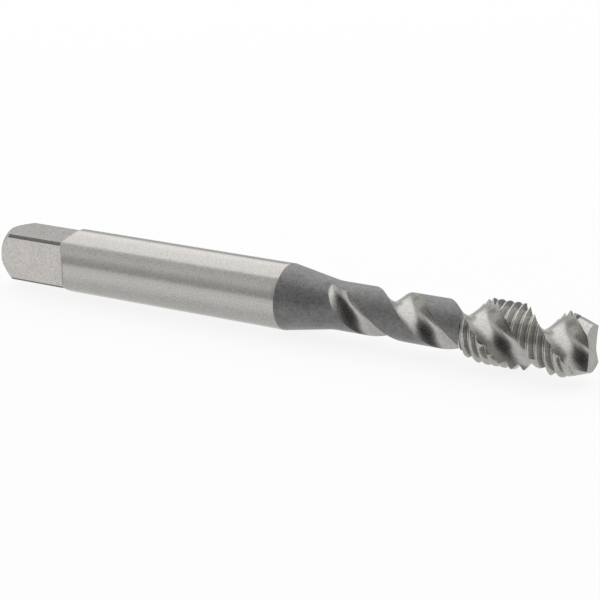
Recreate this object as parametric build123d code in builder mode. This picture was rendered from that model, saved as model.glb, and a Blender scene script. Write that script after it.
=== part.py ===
from build123d import *
import math
import os

os.makedirs("parts", exist_ok=True)

# ---------------------------------------------------------------------------
# Two-flute, right-hand, fast-spiral thread tap, one solid piece of tool steel.
# Frame: +X runs along the tap from the drive end to the cutting tip, +Z is up,
# the origin is the centre of the flat face at the drive end. The flats of the
# square face +Y, -Y, +Z and -Z. All dimensions are in millimetres.
# ---------------------------------------------------------------------------

# Shank and drive square
shank_d = 6.477            # ground shank, 0.255 in
square_af = 4.85           # across the flats of the drive square
square_len = 7.58          # end face to the end of the flats, at flat level
square_ramp = 45.0         # slope of the wheel run-out behind each flat, deg
end_face_r = 2.44          # flat left at the drive end inside its chamfer
end_chamfer_len = 1.02     # axial length of the conical chamfer at that end

# Cone and neck
x_cone = 32.97             # where the ground shank stops and the cone begins
cone_half_angle = 10.0     # deg
neck_d = 4.66              # reduced neck behind the thread
cone_blend_r = 6.0         # radius that blends the cone into the neck

# Thread section (major diameter; the fine thread itself is 0.8 mm pitch)
thread_major_d = 6.04
thread_pitch = 0.8
x_thread = 51.62           # the thread section rises out of the neck here
thread_rise = [(0.60, 2.83), (1.45, 2.96), (2.10, thread_major_d / 2)]
chamfer_len = 2.62         # tapered lead at the tip, about 3.3 pitches
tip_r = 2.17               # radius left at the flat tip face
overall_len = 63.66

# Helical flutes
flute_count = 2
flute_lead = 15.06         # right-hand; helix about 51 degrees at the major diameter
flute_phase = 89.87        # direction of the flute's own x axis at x = 0, deg from +Y
# Transverse section of one flute at the tip, from the cutting face round the
# root to the heel of the land in front (x outward, y in the cutting direction)
flute_section = [
    (2.675, -2.821), (2.163, -2.095), (1.723, -1.474), (1.328, -0.923),
    (1.053, -0.502), (0.891, -0.162), (0.836, 0.162), (0.826, 0.518),
    (0.848, 1.036), (0.891, 1.509), (0.972, 1.911), (1.150, 2.380),
    (1.295, 2.591), (1.943, 3.368)]
outer_r = 3.886            # radius where both ends of the section lie
# The section is set out from the axis by the web taper and, towards the
# shank, by the run-out of the grinding wheel: (x, offset, extra turn in deg)
flute_setting = [
    (37.55, 1.90, 12.9), (37.80, 1.731, 12.9), (38.00, 1.447, 12.9), (38.15, 1.343, 13.9),
    (38.30, 1.288, 15.2), (38.54, 1.211, 17.2), (38.77, 1.125, 16.8), (39.00, 1.028, 15.4),
    (39.41, 0.843, 11.7), (40.09, 0.596, 7.4), (41.00, 0.444, 5.8), (42.00, 0.430, 4.3),
    (43.33, 0.382, 0.5), (44.00, 0.368, 0.0), (64.50, -0.020, 0.0)]
section_turn = 6.0         # turn between neighbouring sections, deg


def flute_at(x):
    """Radial offset and extra turn of the flute section at x."""
    for (x0, o0, a0), (x1, o1, a1) in zip(flute_setting, flute_setting[1:]):
        if x <= x1:
            k = (x - x0) / (x1 - x0)
            return o0 + k * (o1 - o0), a0 + k * (a1 - a0)
    return flute_setting[-1][1], flute_setting[-1][2]


def section_points(x):
    """The flute section at x, in (Y, Z), with both ends on outer_r."""
    offset, extra = flute_at(x)
    pts = [(px + offset, py) for px, py in flute_section]
    for i, j in ((0, 1), (-1, -2)):
        # slide each end along its own wall until it meets the outer radius
        ax, ay = pts[j]
        bx, by = pts[i]
        dx, dy = bx - ax, by - ay
        a = dx * dx + dy * dy
        b = 2 * (ax * dx + ay * dy)
        c = ax * ax + ay * ay - outer_r * outer_r
        k = (-b + math.sqrt(b * b - 4 * a * c)) / (2 * a)
        pts[i] = (ax + k * dx, ay + k * dy)
    turn = math.radians(flute_phase + extra + 360.0 * x / flute_lead)
    ct, st = math.cos(turn), math.sin(turn)
    return [(ct * px - st * py, st * px + ct * py) for px, py in pts]


# --- one flute, as the solid that is ground away ----------------------------
x0 = flute_setting[0][0]
x1 = flute_setting[-1][0]
steps = math.ceil((x1 - x0) / (flute_lead * section_turn / 360.0))
stations = [x0 + (x1 - x0) * i / steps for i in range(steps + 1)]

with BuildPart() as flute:
    for x in stations:
        p = section_points(x)
        a0 = math.atan2(p[0][1], p[0][0])
        a1 = math.atan2(p[-1][1], p[-1][0])
        while a1 < a0:
            a1 += 2 * math.pi
        am = 0.5 * (a0 + a1)
        mid = (outer_r * math.cos(am), outer_r * math.sin(am))
        with BuildSketch(Plane.YZ.offset(x)):
            with BuildLine():
                Spline(*p)
                ThreePointArc(p[-1], mid, p[0])
            make_face()
    loft(ruled=True)

# --- the tap ----------------------------------------------------------------
shank_r = shank_d / 2
neck_r = neck_d / 2
x_neck = x_cone + (shank_r - neck_r) / math.tan(math.radians(cone_half_angle))

with BuildPart() as tap:
    # turned and ground blank
    with BuildSketch(Plane.XY) as profile:
        with BuildLine():
            Polyline(
                (0, 0), (0, end_face_r), (end_chamfer_len, shank_r),
                (x_cone, shank_r), (x_neck, neck_r), (x_thread, neck_r),
                *[(x_thread + dx, r) for dx, r in thread_rise],
                (overall_len - chamfer_len, thread_major_d / 2),
                (overall_len, tip_r), (overall_len, 0), (0, 0))
        make_face()
        fillet(profile.vertices().filter_by(
            lambda v: abs(v.X - x_neck) < 0.01 and abs(v.Y - neck_r) < 0.01),
            radius=cone_blend_r)
    revolve(axis=Axis.X)

    # four flats of the drive square, each with its sloping run-out
    half = square_af / 2
    rise = 1.5
    for k in range(4):
        a = math.radians(90.0 * k)
        side = Plane(origin=(0, 0, 0), x_dir=(1, 0, 0),
                     z_dir=(0, math.sin(a), -math.cos(a)))
        # local y of this plane points outward along the flat's normal
        with BuildSketch(side):
            with BuildLine():
                Polyline(
                    (-1, half), (square_len, half),
                    (square_len + rise / math.tan(math.radians(square_ramp)), half + rise),
                    (-1, half + rise), (-1, half))
            make_face()
        extrude(amount=4, both=True, mode=Mode.SUBTRACT)

    # the helical flutes
    for k in range(flute_count):
        add(flute.part.rotate(Axis.X, 360.0 * k / flute_count), mode=Mode.SUBTRACT)

tap.part.label = "tap"
export_step(tap.part, "parts/tap.step")

print("volume mm3", round(tap.part.volume, 2), "solids", len(tap.part.solids()),
      "valid", tap.part.is_valid)
b = tap.part.bounding_box()
print("box", [round(v, 3) for v in (b.min.X, b.min.Y, b.min.Z, b.max.X, b.max.Y, b.max.Z)])
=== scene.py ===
import math

import bmesh
import bpy
import numpy as np
from mathutils import Matrix, Vector


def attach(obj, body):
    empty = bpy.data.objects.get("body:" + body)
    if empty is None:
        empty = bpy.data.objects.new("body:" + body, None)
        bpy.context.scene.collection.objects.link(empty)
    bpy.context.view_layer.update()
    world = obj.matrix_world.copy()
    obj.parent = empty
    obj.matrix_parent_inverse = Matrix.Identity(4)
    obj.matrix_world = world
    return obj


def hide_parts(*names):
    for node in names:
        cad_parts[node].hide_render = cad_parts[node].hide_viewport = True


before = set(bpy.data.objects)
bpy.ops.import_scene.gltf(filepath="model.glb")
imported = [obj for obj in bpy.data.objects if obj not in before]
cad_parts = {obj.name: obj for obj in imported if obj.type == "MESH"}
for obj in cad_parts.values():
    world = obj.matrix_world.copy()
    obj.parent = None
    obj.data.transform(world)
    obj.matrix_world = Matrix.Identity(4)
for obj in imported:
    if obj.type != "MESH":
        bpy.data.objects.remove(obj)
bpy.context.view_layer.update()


MM = 0.001

# ---------------------------------------------------------------------------
# Dimensions in millimetres, the same as the CAD model's
# ---------------------------------------------------------------------------
shank_r = 3.2385
half_af = 2.425            # half of the size across the flats
square_len = 7.58
end_face_r = 2.44
end_chamfer_len = 1.02
x_cone = 32.97
cone_tan = math.tan(math.radians(10.0))
neck_r = 2.33
blend_r = 6.0
thread_r = 3.02
pitch = 0.8
x_thread = 51.62
rise = [(0.0, neck_r), (0.60, 2.83), (1.45, 2.96), (2.10, thread_r)]
overall_len = 63.66
chamfer_len = 2.62
tip_r_cut, tip_r_heel = 2.27, 2.13   # lead radius at the tip: cutting edge, heel
lead = 15.06
flute_phase = 89.87
crest_x, crest_a = 53.73, 69.0       # a thread crest passes here (x, angle)

flute_section = np.array([
    (2.675, -2.821), (2.163, -2.095), (1.723, -1.474), (1.328, -0.923),
    (1.053, -0.502), (0.891, -0.162), (0.836, 0.162), (0.826, 0.518),
    (0.848, 1.036), (0.891, 1.509), (0.972, 1.911), (1.150, 2.380),
    (1.295, 2.591), (1.943, 3.368)])
flute_setting = np.array([
    (37.55, 1.90, 12.9, 0.85), (37.80, 1.731, 12.9, 0.85), (38.00, 1.447, 12.9, 0.88), (38.15, 1.343, 13.9, 1.04),
    (38.30, 1.288, 15.2, 1.22), (38.54, 1.211, 17.2, 1.48), (38.77, 1.125, 16.8, 1.43), (39.00, 1.028, 15.4, 1.30),
    (39.41, 0.843, 11.7, 1.11), (40.09, 0.596, 7.4, 1.10), (41.00, 0.444, 5.8, 1.04), (42.00, 0.430, 4.3, 1.0),
    (43.33, 0.382, 0.5, 1.0), (44.00, 0.368, 0.0, 1.0), (64.50, -0.020, 0.0, 1.0)])


# ---------------------------------------------------------------------------
# Small curve tools
# ---------------------------------------------------------------------------
def pchip(xs, ys, x):
    """Monotone cubic through (xs, ys)."""
    h = np.diff(xs)
    m = np.diff(ys) / h
    d = np.zeros(len(xs))
    for i in range(1, len(xs) - 1):
        if m[i - 1] * m[i] > 0:
            w1, w2 = 2 * h[i] + h[i - 1], h[i] + 2 * h[i - 1]
            d[i] = (w1 + w2) / (w1 / m[i - 1] + w2 / m[i])
    d[0], d[-1] = m[0], m[-1]
    x = np.clip(x, xs[0], xs[-1])
    i = np.clip(np.searchsorted(xs, x, side="right") - 1, 0, len(h) - 1)
    t = (x - xs[i]) / h[i]
    a = ys[i] * (1 + 2 * t) * (1 - t) ** 2 + h[i] * d[i] * t * (1 - t) ** 2
    return a + ys[i + 1] * t * t * (3 - 2 * t) + h[i] * d[i + 1] * t * t * (t - 1)


def spline(points, n):
    """n points of the natural cubic through points, evenly spaced along it."""
    s = np.concatenate([[0], np.cumsum(np.linalg.norm(np.diff(points, axis=0), axis=1))])
    k = len(points)
    h = np.diff(s)
    A = np.zeros((k, k))
    B = np.zeros((k, 2))
    A[0, 0] = A[-1, -1] = 1
    for i in range(1, k - 1):
        A[i, i - 1], A[i, i], A[i, i + 1] = h[i - 1], 2 * (h[i - 1] + h[i]), h[i]
        B[i] = 6 * ((points[i + 1] - points[i]) / h[i] - (points[i] - points[i - 1]) / h[i - 1])
    M = np.linalg.solve(A, B)
    u = np.linspace(0, s[-1], 4 * n)
    i = np.clip(np.searchsorted(s, u, side="right") - 1, 0, k - 2)
    a, b, hh = (s[i + 1] - u)[:, None], (u - s[i])[:, None], h[i][:, None]
    c = (M[i] * a ** 3 + M[i + 1] * b ** 3) / (6 * hh) \
        + (points[i] / hh - M[i] * hh / 6) * a + (points[i + 1] / hh - M[i + 1] * hh / 6) * b
    q = np.concatenate([[0], np.cumsum(np.linalg.norm(np.diff(c, axis=0), axis=1))])
    v = np.linspace(0, q[-1], n)
    return np.stack([np.interp(v, q, c[:, 0]), np.interp(v, q, c[:, 1])], 1), v


SEC, SEC_V = spline(flute_section, 900)


def offset_at(x):
    return pchip(flute_setting[:, 0], flute_setting[:, 1], x)


def width_at(x):
    """How wide the grinding wheel's run-out cuts, 1 for the full section."""
    return pchip(flute_setting[:, 0], flute_setting[:, 3], x)


def turn_at(x):
    return flute_phase + 360.0 * x / lead + pchip(flute_setting[:, 0], flute_setting[:, 2], x)


def section_at(v, off, wide):
    """Radius and angle of the flute section at arc position v, moved out by off."""
    px = np.interp(v, SEC_V, SEC[:, 0]) + off
    py = np.interp(v, SEC_V, SEC[:, 1]) * wide
    return np.hypot(px, py), np.degrees(np.arctan2(py, px))


def crossing(off, wide, r, side):
    """Arc position where the section meets radius r: side 0 by the cutting face,
    side 1 by the heel. NaN where it never comes inside r."""
    off, r = np.atleast_1d(off), np.atleast_1d(r)
    rho = np.hypot(SEC[None, :, 0] + off[:, None], SEC[None, :, 1] * wide[:, None])
    inside = rho < r[:, None]
    some = inside.any(1)
    n = rho.shape[1]
    if side == 0:
        i = np.clip(inside.argmax(1), 1, n - 1)
        j = i - 1
    else:
        i = np.clip(n - 1 - inside[:, ::-1].argmax(1), 0, n - 2)
        j = i + 1
    k = np.arange(len(r))
    f = (r - rho[k, j]) / np.where(np.abs(rho[k, i] - rho[k, j]) < 1e-12, 1e-12, rho[k, i] - rho[k, j])
    v = SEC_V[j] + np.clip(f, 0, 1) * (SEC_V[i] - SEC_V[j])
    return np.where(some, v, np.nan)


# ---------------------------------------------------------------------------
# The outer envelope, the thread and the lead
# ---------------------------------------------------------------------------
x_neck = x_cone + (shank_r - neck_r) / cone_tan
blend_t = blend_r * math.tan(math.radians(5.0))
blend_x0 = x_neck - blend_t * math.cos(math.radians(10.0))
blend_x1 = x_neck + blend_t


def envelope(x):
    x = np.asarray(x, float)
    r = np.where(x < blend_x0, shank_r - (x - x_cone) * cone_tan, neck_r)
    arc = (x >= blend_x0) & (x < blend_x1)
    r = np.where(arc, neck_r + blend_r - np.sqrt(np.maximum(blend_r ** 2 - (blend_x1 - x) ** 2, 0)), r)
    xs = [x_thread + a for a, _ in rise]
    r = np.where(x > x_thread, np.interp(x, xs, [b for _, b in rise]), r)
    return np.minimum(r, shank_r)


def lead_radius(x, u):
    tip = tip_r_heel + (tip_r_cut - tip_r_heel) * u
    k = np.clip((x - (overall_len - chamfer_len)) / chamfer_len, 0, None)
    return thread_r + (tip - thread_r) * k


def thread_radius(x, a):
    p = (x - crest_x) / pitch - (a - crest_a) / 360.0
    d = np.abs(p - np.round(p)) * pitch
    depth = np.clip(d - pitch / 16, 0, pitch / 2 - pitch / 8) * math.tan(math.radians(60))
    return thread_r - depth


def land_radius(x, a, u):
    return np.minimum(np.minimum(envelope(x), thread_radius(x, a)), lead_radius(x, u))


# where the flutes begin: the section just touches the envelope
def least(x):
    at = np.array([x])
    rho = np.hypot(SEC[:, 0] + offset_at(at)[0], SEC[:, 1] * width_at(at)[0])
    return rho.min() - float(envelope(x)), int(rho.argmin())


lo, hi = 37.6, 40.0
for _ in range(50):
    mid = 0.5 * (lo + hi)
    if least(mid)[0] > 0:
        lo = mid
    else:
        hi = mid
x_nose = hi
v_nose = SEC_V[least(x_nose)[1]]
at_nose = np.array([x_nose])
a_nose = float(turn_at(at_nose)[0] + section_at(v_nose, offset_at(at_nose)[0], width_at(at_nose)[0])[1])

# ---------------------------------------------------------------------------
# Rows of the fluted part. X is the row's nominal place, H says how far the row
# follows the thread's helix (0 is a plain ring).
# ---------------------------------------------------------------------------
NU, NE, NV = 36, 5, 24            # land, flute edge and flute middle columns
X, H = [], []
for x in np.linspace(33.10, x_nose - 0.05, 34):
    X.append(x); H.append(0.0)
k = 0
while True:
    x = x_nose + 0.0022 * k * k
    if x > x_nose and X[-1] + 0.10 < x:
        break
    X.append(x); H.append(0.0)
    k += 1
start = X[-1]
n = int(math.ceil((x_thread - start) / 0.105))
for x in np.linspace(start, x_thread, n + 1)[1:]:
    X.append(x); H.append(0.0)
neck_rows = len(X) - 1            # the last row of the neck, at x_thread
heel0 = flute_phase + 63.5


def heel_nominal(x):
    return heel0 + 360.0 * x / lead


def row_place(kk):
    """Nominal x of thread row kk (16 rows to a pitch)."""
    s = crest_x - pitch * crest_a / 360.0 + kk * pitch / 16
    return (s + pitch * heel0 / 360.0) / (1 - pitch / lead)


k0 = int(math.floor((x_thread - row_place(0)) / (row_place(1) - row_place(0)))) + 1
while row_place(k0) < x_thread + 0.02:
    k0 += 1
j = 0
while True:
    x = row_place(k0 + j)
    X.append(x); H.append(min(1.0, (j + 1) / 6.0))
    if x >= overall_len:
        break
    j += 1
X, H = np.array(X), np.array(H)
R = len(X)
pre = X < x_nose + 1e-9


def solve_edge(f, side, land_turn):
    """Edge of a land along flute f's side. Returns x, angle, radius and arc position for each row."""
    u = 0.0 if side == 1 else 1.0
    x = X.copy()
    a = turn_at(x) + 180.0 * f + (63.5 if side == 1 else -44.0)
    for _ in range(14):
        x = X + H * pitch / 360.0 * (a - land_turn - heel_nominal(X))
        x = np.clip(x, 0, overall_len)
        r = land_radius(x, a, u)
        off, wide = offset_at(x), width_at(x)
        v = crossing(off, wide, r, side)
        v = np.where(np.isnan(v), v_nose, v)
        a = turn_at(x) + 180.0 * f + section_at(v, off, wide)[1]
        a = np.where(pre, a_nose + 180.0 * f, a)
    v = np.where(pre, v_nose, v)
    r = np.where(pre, envelope(x), land_radius(x, a, u))
    return x, a, r, v


verts = []            # (x, y, z)
edge_of = []          # 1 on the edge between a flute and a land


def put(x, r, a, e):
    a = np.radians(a)
    verts.append(np.stack([x, r * np.cos(a), r * np.sin(a)], 1))
    edge_of.append(np.full(len(x), e))


cols = []             # what each column belongs to: ("flute", f) or ("land", f)
heels = [solve_edge(f, 1, 180.0 * f) for f in (0, 1)]
cuts = [solve_edge(0, 0, -180.0), solve_edge(1, 0, 0.0)]
# flute f runs from cuts[f] to heels[f]; land f runs from heels[f] to the next flute's cutting edge
low = np.minimum(np.minimum(envelope(X), thread_r - 0.52), lead_radius(X, 0.0)) - 0.07
off_row, wide_row = offset_at(X), width_at(X)
va_all, vb_all = crossing(off_row, wide_row, low, 0), crossing(off_row, wide_row, low, 1)
for f in (0, 1):
    xc, ac, rc, vc = cuts[f]
    xh, ah, rh, vh = heels[f]
    span = vh - vc
    va = np.where(np.isnan(va_all), vc + 0.15 * span, np.minimum(va_all, vc + 0.15 * span))
    vb = np.where(np.isnan(vb_all), vh - 0.15 * span, np.maximum(vb_all, vh - 0.15 * span))
    va, vb = np.maximum(va, vc), np.minimum(vb, vh)
    put(xc, rc, ac, 1.0); cols.append(("cut", f))
    inner = []
    for i in range(1, NE):
        inner.append(vc + (va - vc) * i / NE)
    for i in range(NV + 1):
        inner.append(va + (vb - va) * i / NV)
    for i in range(1, NE):
        inner.append(vb + (vh - vb) * i / NE)
    for v in inner:
        q = np.where(span > 1e-6, (v - vc) / np.maximum(span, 1e-6), 0.5)
        x = xc + q * (xh - xc)
        r, psi = section_at(v, offset_at(x), width_at(x))
        a = turn_at(x) + 180.0 * f + psi
        r = np.where(pre, envelope(x), r)
        a = np.where(pre, a_nose + 180.0 * f, a)
        put(x, r, a, 0.0); cols.append(("flute", f))
    put(xh, rh, ah, 1.0); cols.append(("heel", f))
    xn, an = (cuts[1][0], cuts[1][1]) if f == 0 else (cuts[0][0], cuts[0][1] + 360.0)
    for i in range(1, NU):
        u = i / NU
        a = ah + u * (an - ah)
        x = np.clip(X + H * pitch / 360.0 * (a - 180.0 * f - heel_nominal(X)), 0, overall_len)
        r = np.where(pre, envelope(x), land_radius(x, a, u))
        put(x, r, a, 0.0); cols.append(("land", f))

C = len(cols)
grid = np.stack(verts, 0).transpose(1, 0, 2)          # row, column, xyz
edge_flag = np.stack(edge_of, 0).T

SHANK, FLAT, CORNER_SHADE, DARK, FLUTE, THREAD, LEADM, TIP, BUTT = range(9)


def column_material(c):
    kind = cols[c][0]
    if kind in ("cut", "flute"):
        return FLUTE
    return None


coords = grid.reshape(-1, 3)
radius = np.hypot(grid[:, :, 1], grid[:, :, 2])
on_lead = (grid[:, :, 0] > overall_len - chamfer_len) & \
    (radius > lead_radius(grid[:, :, 0], 0.0) - 0.012) & (radius < thread_r - 0.004)
faces, mats = [], []
for r_ in range(R - 1):
    for c in range(C):
        c2 = (c + 1) % C
        faces.append((r_ * C + c, (r_ + 1) * C + c, (r_ + 1) * C + c2, r_ * C + c2))
        kind = cols[c][0]
        if kind in ("cut", "flute"):
            mats.append(FLUTE if not pre[r_ + 1] else DARK)
        elif r_ < neck_rows:
            mats.append(DARK)
        else:
            whole = on_lead[r_, c] and on_lead[r_ + 1, c] and on_lead[r_ + 1, c2] and on_lead[r_, c2]
            mats.append(LEADM if whole else THREAD)
coords = [tuple(p) for p in coords]
flags = list(edge_flag.reshape(-1))

# ---------------------------------------------------------------------------
# Shank with the drive square: columns at exact corner angles
# ---------------------------------------------------------------------------
corner = math.degrees(math.acos(half_af / shank_r))   # half angle of a flat
NF, NC = 44, 5
angles = []
for q in range(4):
    for i in range(NF):
        angles.append((q * 90.0 - corner + 2 * corner * i / NF, q, "flat"))
    for i in range(NC):
        angles.append((q * 90.0 + corner + (90.0 - 2 * corner) * i / NC, q, "corner"))
M = len(angles)
cone_k = (shank_r - end_face_r) / end_chamfer_len
NCONE, NFLAT, NRAMP, NCYL = 4, 22, 4, 46
rows = []
for a, q, kind in angles:
    d = math.radians(a - q * 90.0)
    if kind == "corner" and a - q * 90.0 > corner + 1e-6:
        xc = end_chamfer_len
        xe = xr = square_len
        rad = lambda x: min(shank_r, end_face_r + cone_k * x)
    else:
        xc = min(max((half_af / math.cos(d) - end_face_r) / cone_k, 0.0), end_chamfer_len)
        xe = square_len
        xr = square_len + max(shank_r * math.cos(d) - half_af, 0.0)
        rad = lambda x, d=d: min(shank_r, end_face_r + cone_k * x,
                                 (half_af + max(0.0, x - square_len)) / math.cos(d))
    col = [(xc * i / NCONE) for i in range(NCONE)]
    col += [xc + (xe - xc) * i / NFLAT for i in range(NFLAT)]
    col += [xe + (xr - xe) * i / NRAMP for i in range(NRAMP)]
    col += [xr + (x_cone - xr) * i / NCYL for i in range(NCYL + 1)]
    ar = math.radians(a)
    rows.append([(x, rad(x) * math.cos(ar), rad(x) * math.sin(ar)) for x in col])
K = len(rows[0])
base = len(coords)
for kx in range(K):
    for m_ in range(M):
        coords.append(rows[m_][kx])
        flags.append(0.0)
for kx in range(K - 1):
    for m_ in range(M):
        m2 = (m_ + 1) % M
        faces.append((base + kx * M + m_, base + (kx + 1) * M + m_, base + (kx + 1) * M + m2, base + kx * M + m2))
        flat = angles[m_][2] == "flat"
        if kx < NCONE:
            mats.append(BUTT)
        elif kx < NCONE + NFLAT:
            # the corner strips between the flats take a painted shade, far darker than the ground steel
            mats.append(FLAT if flat else CORNER_SHADE)
        elif kx < NCONE + NFLAT + NRAMP:
            # the last ramp row across each flat takes the same painted shade, a dark line where the flat runs out
            mats.append((CORNER_SHADE if kx == NCONE + NFLAT + NRAMP - 1 else FLAT) if flat else SHANK)
        else:
            mats.append(SHANK)
# flat face at the drive end
faces.append(tuple(base + m_ for m_ in range(M)))
mats.append(BUTT)

# strip between the shank's last ring and the first row of the cone
ring_a = [(angles[m_][0] % 360.0, base + (K - 1) * M + m_) for m_ in range(M)]
ring_b = {}
for c in range(C):
    p = coords[c]
    ring_b.setdefault(round(math.degrees(math.atan2(p[2], p[1])) % 360.0, 4), c)
ring_a.sort()
ring_b = sorted(ring_b.items())
ia = ib = 0
na, nb = len(ring_a), len(ring_b)
while ia < na or ib < nb:
    a_next = ring_a[(ia + 1) % na][0] + (360.0 if ia + 1 >= na else 0.0)
    b_next = ring_b[(ib + 1) % nb][0] + (360.0 if ib + 1 >= nb else 0.0)
    A, B = ring_a[ia % na][1], ring_b[ib % nb][1]
    if ib >= nb or (ia < na and a_next <= b_next):
        faces.append((A, B, ring_a[(ia + 1) % na][1])); ia += 1
    else:
        faces.append((A, B, ring_b[(ib + 1) % nb][1])); ib += 1
    mats.append(DARK)

# flat face at the tip
faces.append(tuple(reversed([(R - 1) * C + c for c in range(C)])))
mats.append(TIP)

# ---------------------------------------------------------------------------
# One closed mesh
# ---------------------------------------------------------------------------
me = bpy.data.meshes.new("tap_body")
bm = bmesh.new()
layer = bm.verts.layers.float.new("edge")
bv = []
for p, fl in zip(coords, flags):
    v = bm.verts.new((p[0] * MM, p[1] * MM, p[2] * MM))
    v[layer] = fl
    bv.append(v)
for fc, mt in zip(faces, mats):
    seen = []
    for i in fc:
        if not seen or seen[-1] != i:
            seen.append(i)
    try:
        face = bm.faces.new([bv[i] for i in seen])
        face.material_index = mt
        face.smooth = True
    except ValueError:
        pass
bmesh.ops.remove_doubles(bm, verts=bm.verts, dist=1.5e-6)
bmesh.ops.dissolve_degenerate(bm, dist=1e-7, edges=bm.edges)
bmesh.ops.recalc_face_normals(bm, faces=bm.faces)
loose = [v for v in bm.verts if not v.link_faces]
bmesh.ops.delete(bm, geom=loose, context="VERTS")
for e in bm.edges:
    if len(e.link_faces) == 2:
        if e.calc_face_angle(0.0) > math.radians(30) or \
                e.link_faces[0].material_index != e.link_faces[1].material_index:
            e.smooth = e.calc_face_angle(0.0) < math.radians(12)
open_edges = sum(1 for e in bm.edges if len(e.link_faces) != 2)
bm.to_mesh(me)
volume = bm.calc_volume()
bm.free()
print("TAP verts", len(me.vertices), "faces", len(me.polygons),
      "tris", sum(len(p.vertices) - 2 for p in me.polygons),
      "open edges", open_edges, "volume mm3", round(volume * 1e9, 2), "x_nose", round(x_nose, 3))

tap = bpy.data.objects.new("tap_body", me)
bpy.context.scene.collection.objects.link(tap)


# ---------------------------------------------------------------------------
# Materials
# ---------------------------------------------------------------------------
class Net:
    def __init__(self, name):
        self.mat = bpy.data.materials.new(name)
        self.mat.use_nodes = True
        self.t = self.mat.node_tree
        self.t.nodes.clear()
        self.out = self.t.nodes.new("ShaderNodeOutputMaterial")
        self.bsdf = self.t.nodes.new("ShaderNodeBsdfPrincipled")
        self.t.links.new(self.bsdf.outputs[0], self.out.inputs[0])
        tc = self.t.nodes.new("ShaderNodeTexCoord")
        sc = self.t.nodes.new("ShaderNodeVectorMath")
        sc.operation = "SCALE"
        sc.inputs["Scale"].default_value = 1000.0
        self.t.links.new(tc.outputs["Object"], sc.inputs[0])
        self.mm = sc.outputs[0]          # place in millimetres

    def stretch(self, vec, s):
        n_ = self.t.nodes.new("ShaderNodeVectorMath")
        n_.operation = "MULTIPLY"
        self.t.links.new(vec, n_.inputs[0])
        n_.inputs[1].default_value = s
        return n_.outputs[0]

    def untwist(self, vec, lead_mm):
        """Turns each cross-section back by the helix, so that lines along a flute run straight."""
        sep = self.t.nodes.new("ShaderNodeSeparateXYZ")
        self.t.links.new(vec, sep.inputs[0])
        ang = self.math("MULTIPLY", sep.outputs[0], -2 * math.pi / lead_mm)
        rot = self.t.nodes.new("ShaderNodeVectorRotate")
        rot.rotation_type = "X_AXIS"
        self.t.links.new(vec, rot.inputs["Vector"])
        self.t.links.new(ang, rot.inputs["Angle"])
        return rot.outputs[0]

    def noise(self, vec, scale, detail=3.0, rough=0.5):
        n_ = self.t.nodes.new("ShaderNodeTexNoise")
        n_.inputs["Scale"].default_value = scale
        n_.inputs["Detail"].default_value = detail
        n_.inputs["Roughness"].default_value = rough
        self.t.links.new(vec, n_.inputs["Vector"])
        return n_.outputs[0]

    def math(self, op, a, b):
        n_ = self.t.nodes.new("ShaderNodeMath")
        n_.operation = op
        for sock, v in zip(n_.inputs, (a, b)):
            if isinstance(v, (int, float)):
                sock.default_value = v
            else:
                self.t.links.new(v, sock)
        return n_.outputs[0]

    def ramp(self, fac, lo_, hi_, c0, c1):
        n_ = self.t.nodes.new("ShaderNodeMapRange")
        n_.inputs["From Min"].default_value = lo_
        n_.inputs["From Max"].default_value = hi_
        n_.inputs["To Min"].default_value = c0
        n_.inputs["To Max"].default_value = c1
        self.t.links.new(fac, n_.inputs["Value"])
        return n_.outputs[0]

    def colour(self, fac, c0, c1):
        n_ = self.t.nodes.new("ShaderNodeMix")
        n_.data_type = "RGBA"
        self.t.links.new(fac, n_.inputs["Factor"])
        n_.inputs["A"].default_value = (*c0, 1)
        n_.inputs["B"].default_value = (*c1, 1)
        return n_.outputs["Result"]

    def link(self, out, name):
        self.t.links.new(out, self.bsdf.inputs[name])

    def bump(self, height, dist_mm, strength=1.0):
        n_ = self.t.nodes.new("ShaderNodeBump")
        n_.inputs["Distance"].default_value = dist_mm * MM
        n_.inputs["Strength"].default_value = strength
        self.t.links.new(height, n_.inputs["Height"])
        self.t.links.new(n_.outputs[0], self.bsdf.inputs["Normal"])


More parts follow.
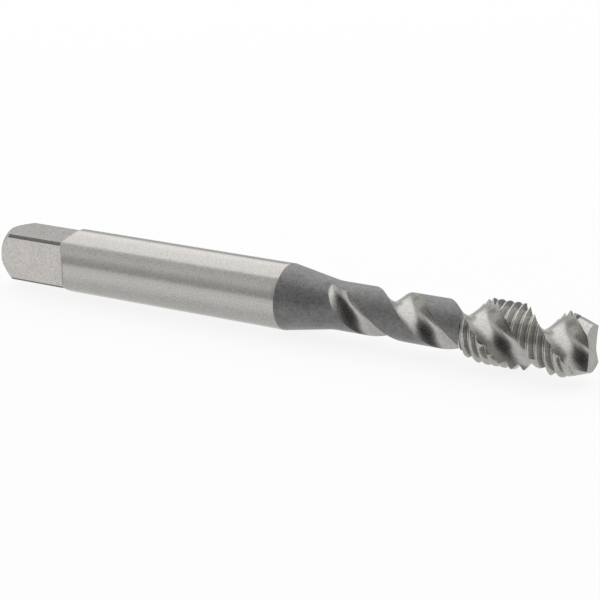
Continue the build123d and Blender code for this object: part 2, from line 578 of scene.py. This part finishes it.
def ground_steel(name, c0, c1, rough, lines, line_scale, bump_mm, speck=1.0, groove_shade=None):
    """Bright ground steel. lines: "ring" round the axis, "helix" along the flutes.
    deep: radius, radius and share of the colour left at the first; a painted shade that darkens the thread's
    grooves towards their roots."""
    m = Net(name)
    if lines == "ring":
        vec = m.stretch(m.mm, (line_scale, 0.25, 0.25))
    else:
        vec = m.stretch(m.untwist(m.mm, lead), (0.35, line_scale, line_scale))
    fine = m.noise(vec, 1.0, 4.0, 0.65)
    blotch = m.noise(m.mm, 0.45, 2.0)
    patch = m.noise(m.mm, 2.6, 2.0, 0.6)
    grain = m.noise(m.mm, 5.6, 2.0, 0.7)
    mix = m.math("ADD", m.math("ADD", m.math("MULTIPLY", fine, 0.14), m.math("MULTIPLY", blotch, 0.10)),
                 m.math("ADD", m.math("MULTIPLY", patch, 0.06), m.math("MULTIPLY", grain, 0.70)))
    paint = m.colour(m.ramp(mix, 0.5 - 0.10 / speck, 0.5 + 0.10 / speck, 0, 1), c0, c1)
    # painted shade: the colour is scaled down towards the axis, to the given share at the first radius
    if groove_shade:
        flat_ = m.stretch(m.mm, (0.0, 1.0, 1.0))
        far = m.t.nodes.new("ShaderNodeVectorMath")
        far.operation = "LENGTH"
        m.t.links.new(flat_, far.inputs[0])
        share = m.ramp(far.outputs["Value"], groove_shade[0], groove_shade[1], groove_shade[2], 1.0)
        tint = m.t.nodes.new("ShaderNodeVectorMath")
        tint.operation = "SCALE"
        m.t.links.new(paint, tint.inputs[0])
        m.t.links.new(share, tint.inputs["Scale"])
        paint = tint.outputs[0]
    m.link(paint, "Base Color")
    m.link(m.ramp(m.math("ADD", m.math("MULTIPLY", fine, 0.3), m.math("MULTIPLY", grain, 0.7)),
                  0.3, 0.7, rough - 0.035, rough + 0.045), "Roughness")
    m.bsdf.inputs["Metallic"].default_value = 1.0
    m.bump(m.math("ADD", m.math("MULTIPLY", fine, 0.6), grain), bump_mm, 1.0)
    return m.mat


def dark_satin(name):
    """Dark grey blasted surface of the cone and the neck."""
    m = Net(name)
    grain = m.noise(m.mm, 6.4, 3.0, 0.7)
    patch = m.noise(m.mm, 2.4, 2.0, 0.6)
    fine = m.noise(m.mm, 22.0, 2.0, 0.5)
    blotch = m.noise(m.mm, 0.5, 2.0)
    mix = m.math("ADD", m.math("ADD", m.math("MULTIPLY", grain, 0.46), m.math("MULTIPLY", patch, 0.22)),
                 m.math("ADD", m.math("MULTIPLY", fine, 0.16), m.math("MULTIPLY", blotch, 0.16)))
    m.link(m.colour(m.ramp(mix, 0.38, 0.62, 0, 1), (0.066, 0.0655, 0.0645), (0.248, 0.246, 0.242)), "Base Color")
    m.link(m.ramp(mix, 0.38, 0.62, 0.54, 0.42), "Roughness")
    m.bsdf.inputs["Metallic"].default_value = 0.5
    m.bsdf.inputs["IOR"].default_value = 2.3
    m.bsdf.inputs["Sheen Weight"].default_value = 0.60
    m.bsdf.inputs["Sheen Roughness"].default_value = 0.50
    m.bump(m.math("ADD", m.math("MULTIPLY", grain, 0.8), m.math("MULTIPLY", fine, 0.5)), 0.016, 1.0)
    return m.mat


materials = [
    ground_steel("shank_ground", (0.457, 0.442, 0.421), (0.569, 0.551, 0.526), 0.20, "ring", 9.0, 0.0006),
    ground_steel("square_flats", (0.488, 0.463, 0.439), (0.640, 0.611, 0.581), 0.15, "ring", 7.0, 0.0009),
    # painted shade for the corner strips and the ramps' ends: colour far darker than the ground steel
    ground_steel("square_corners_shade", (0.14, 0.137, 0.132), (0.21, 0.206, 0.20), 0.42, "ring", 6.0, 0.0020),
    dark_satin("neck_satin"),
    ground_steel("flute_ground", (0.440, 0.427, 0.407), (0.585, 0.568, 0.544), 0.27, "helix", 5.0, 0.0014),
    # the thread's grooves get painted shade, down to 80 % of the colour at their roots
    ground_steel("thread_ground", (0.42, 0.405, 0.386), (0.58, 0.562, 0.536), 0.20, "ring", 10.0, 0.0012, 1.0,
                 (2.55, 2.98, 0.80)),
    ground_steel("lead_ground", (0.42, 0.408, 0.393), (0.61, 0.594, 0.573), 0.22, "ring", 10.0, 0.0020),
    ground_steel("tip_face", (0.375, 0.379, 0.355), (0.560, 0.566, 0.532), 0.38, "helix", 3.0, 0.0060, 1.5),
    ground_steel("drive_end_face", (0.44, 0.428, 0.412), (0.55, 0.536, 0.515), 0.36, "ring", 4.0, 0.0020),
]
for mt in materials:
    me.materials.append(mt)

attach(tap, "root")
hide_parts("tap")

# ---------------------------------------------------------------------------
# Floor, light and camera
# ---------------------------------------------------------------------------
floor_me = bpy.data.meshes.new("floor")
s = 3.0
floor_me.from_pydata([(-s, -s, 0), (s, -s, 0), (s, s, 0), (-s, s, 0)], [], [(0, 1, 2, 3)])
floor = bpy.data.objects.new("floor", floor_me)
floor.location = (0, 0, -shank_r * MM - 2e-6)
bpy.context.scene.collection.objects.link(floor)
fm = bpy.data.materials.new("pale_floor")
fm.use_nodes = True
fb = fm.node_tree.nodes["Principled BSDF"]
fb.inputs["Base Color"].default_value = (0.14, 0.14, 0.14, 1)
fb.inputs["Roughness"].default_value = 0.9
fb.inputs["Specular IOR Level"].default_value = 0.1
fb.inputs["Emission Color"].default_value = (1, 1, 1, 1)
fb.inputs["Emission Strength"].default_value = 0.86
floor_me.materials.append(fm)
# the camera sees the floor; the steel's reflections of what is below come from the studio's own gradient
floor.visible_glossy = False
floor.visible_diffuse = False
floor.visible_shadow = False

world = bpy.data.worlds.new("studio")
bpy.context.scene.world = world
world.use_nodes = True
wt = world.node_tree
bg = wt.nodes["Background"]
wc = wt.nodes.new("ShaderNodeTexCoord")
ws = wt.nodes.new("ShaderNodeSeparateXYZ")
wt.links.new(wc.outputs["Generated"], ws.inputs[0])
wz = wt.nodes.new("ShaderNodeMapRange")       # height, from 0 straight down to 1 straight up
wz.inputs["From Min"].default_value = -1.0
wt.links.new(ws.outputs[2], wz.inputs["Value"])
wr = wt.nodes.new("ShaderNodeValToRGB")
wt.links.new(wz.outputs[0], wr.inputs[0])
cr = wr.color_ramp
cr.elements[0].position = 0.0
cr.elements[0].color = (0.76, 0.76, 0.76, 1)
cr.elements[1].position = 1.0
cr.elements[1].color = (0.62, 0.62, 0.62, 1)
for deg_, c_ in ((-60, 0.71), (-51, 0.69), (-42, 0.77), (-28, 0.88), (-16, 0.89), (-4, 0.84), (3, 0.50), (10, 0.48),
                 (20, 0.57), (32, 0.77), (48, 0.66)):
    el = cr.elements.new(0.5 + 0.5 * math.sin(math.radians(deg_)))
    el.color = (c_, c_, c_, 1)
# the room beyond the floor is dark at the horizon on the tip's side
wb = wt.nodes.new("ShaderNodeMath")
wb.operation = "ADD"
wb.inputs[1].default_value = 0.03
wt.links.new(ws.outputs[2], wb.inputs[0])
wa = wt.nodes.new("ShaderNodeMath")
wa.operation = "ABSOLUTE"
wt.links.new(wb.outputs[0], wa.inputs[0])
band = wt.nodes.new("ShaderNodeMapRange")
band.interpolation_type = "SMOOTHSTEP"
for key_, v_ in (("From Min", 0.36), ("From Max", 0.04)):
    band.inputs[key_].default_value = v_
wt.links.new(wa.outputs[0], band.inputs["Value"])
side = wt.nodes.new("ShaderNodeMapRange")
side.interpolation_type = "SMOOTHSTEP"
for key_, v_ in (("From Min", -0.42), ("From Max", 0.15)):
    side.inputs[key_].default_value = v_
wt.links.new(ws.outputs[0], side.inputs["Value"])
rim = wt.nodes.new("ShaderNodeMath")
rim.operation = "MULTIPLY"
wt.links.new(band.outputs[0], rim.inputs[0])
wt.links.new(side.outputs[0], rim.inputs[1])
room = wt.nodes.new("ShaderNodeMix")
room.data_type = "RGBA"
room.inputs["B"].default_value = (0.25, 0.25, 0.25, 1)
wt.links.new(rim.outputs[0], room.inputs["Factor"])
wt.links.new(wr.outputs[0], room.inputs["A"])
# the unlit part of the studio, in front of the tap and to its right
gap = wt.nodes.new("ShaderNodeVectorMath")
gap.operation = "DOT_PRODUCT"
wt.links.new(wc.outputs["Generated"], gap.inputs[0])
gap.inputs[1].default_value = (0.476, -0.762, 0.4384)
fade = wt.nodes.new("ShaderNodeMapRange")
fade.interpolation_type = "SMOOTHSTEP"
fade.inputs["From Min"].default_value = math.cos(math.radians(61))
fade.inputs["From Max"].default_value = math.cos(math.radians(12))
wt.links.new(gap.outputs["Value"], fade.inputs["Value"])
low_ = wt.nodes.new("ShaderNodeMapRange")
low_.interpolation_type = "SMOOTHSTEP"
for key_, v_ in (("From Min", -0.42), ("From Max", 0.02)):
    low_.inputs[key_].default_value = v_
wt.links.new(ws.outputs[2], low_.inputs["Value"])
amount = wt.nodes.new("ShaderNodeMath")
amount.operation = "MULTIPLY"
wt.links.new(fade.outputs[0], amount.inputs[0])
wt.links.new(low_.outputs[0], amount.inputs[1])
unlit = wt.nodes.new("ShaderNodeMix")
unlit.data_type = "RGBA"
unlit.inputs["B"].default_value = (0.035, 0.035, 0.035, 1)
wt.links.new(amount.outputs[0], unlit.inputs["Factor"])
wt.links.new(room.outputs["Result"], unlit.inputs["A"])
wt.links.new(unlit.outputs["Result"], bg.inputs[0])
bg.inputs[1].default_value = 1.0
# plain pale backdrop where the world itself is in view
pale = wt.nodes.new("ShaderNodeBackground")
pale.inputs[0].default_value = (0.93, 0.93, 0.93, 1)
path = wt.nodes.new("ShaderNodeLightPath")
both = wt.nodes.new("ShaderNodeMixShader")
wt.links.new(path.outputs["Is Camera Ray"], both.inputs[0])
wt.links.new(bg.outputs[0], both.inputs[1])
wt.links.new(pale.outputs[0], both.inputs[2])
wt.links.new(both.outputs[0], wt.nodes["World Output"].inputs[0])


def softbox(name, centre, toward, wide, high, radiance):
    lamp = bpy.data.lights.new(name, "AREA")
    lamp.shape = "RECTANGLE"
    lamp.size, lamp.size_y = wide, high
    lamp.energy = radiance * math.pi * wide * high
    ob = bpy.data.objects.new(name, lamp)
    # its width runs along X, and it shines along its own -Z
    z_ = (Vector(centre) - Vector(toward)).normalized()
    x_ = (Vector((1, 0, 0)) - z_ * z_.x).normalized()
    y_ = z_.cross(x_)
    turn = Matrix((x_, y_, z_)).transposed().to_4x4()
    turn.translation = Vector(centre)
    ob.matrix_world = turn
    bpy.context.scene.collection.objects.link(ob)
    return ob


mid_x = 0.5 * overall_len * MM
# the big softbox over and behind the tap, brightest on the drive end's side
dist = 0.60
for name_, x0_, x1_, th, high, glow in (("key_softbox", -1.60, -0.08, 116.25, 0.98, 0.63),
                                        ("fill_softbox", -0.08, 0.32, 112.25, 1.13, 0.58),
                                        ("edge_softbox", 0.32, 0.64, 112.25, 1.13, 0.42)):
    cx_, th = mid_x + 0.5 * (x0_ + x1_), math.radians(th)
    softbox(name_, (cx_, -math.cos(th) * dist, math.sin(th) * dist), (cx_, 0, 0), x1_ - x0_, high, glow)

# camera
P = np.array([-0.2863, -0.0981, 55.2573])
D = np.array([0.86456763, 0.14953701, -0.47975149])
Nn = np.array([-0.47290108, -0.08078874, -0.87740398])
Mm = np.array([-0.16996288, 0.98545008, 0.00086889])
c158, s158 = math.cos(math.radians(158.0)), math.sin(math.radians(158.0))
BX, BY, BZ = D, c158 * Nn - s158 * Mm, s158 * Nn + c158 * Mm
O = P - 10.18 * D
place = -np.array([O @ BX, O @ BY, O @ BZ]) * shank_r * MM
right = np.array([BX[0], BY[0], BZ[0]])
down = np.array([BX[1], BY[1], BZ[1]])
forward = np.array([BX[2], BY[2], BZ[2]])
cam_data = bpy.data.cameras.new("camera")
cam_data.sensor_width = 36.0
cam_data.lens = 1877.5946 * 36.0 / 600.0
cam_data.clip_start, cam_data.clip_end = 0.005, 50.0
cam = bpy.data.objects.new("camera", cam_data)
m4 = Matrix.Identity(4)
for i in range(3):
    m4[i][0], m4[i][1], m4[i][2], m4[i][3] = right[i], -down[i], -forward[i], place[i]
cam.matrix_world = m4
bpy.context.scene.collection.objects.link(cam)
bpy.context.scene.camera = cam

sc = bpy.context.scene
sc.view_settings.view_transform = "Standard"
sc.view_settings.look = "None"
sc.view_settings.exposure = 0.0
sc.view_settings.gamma = 1.0
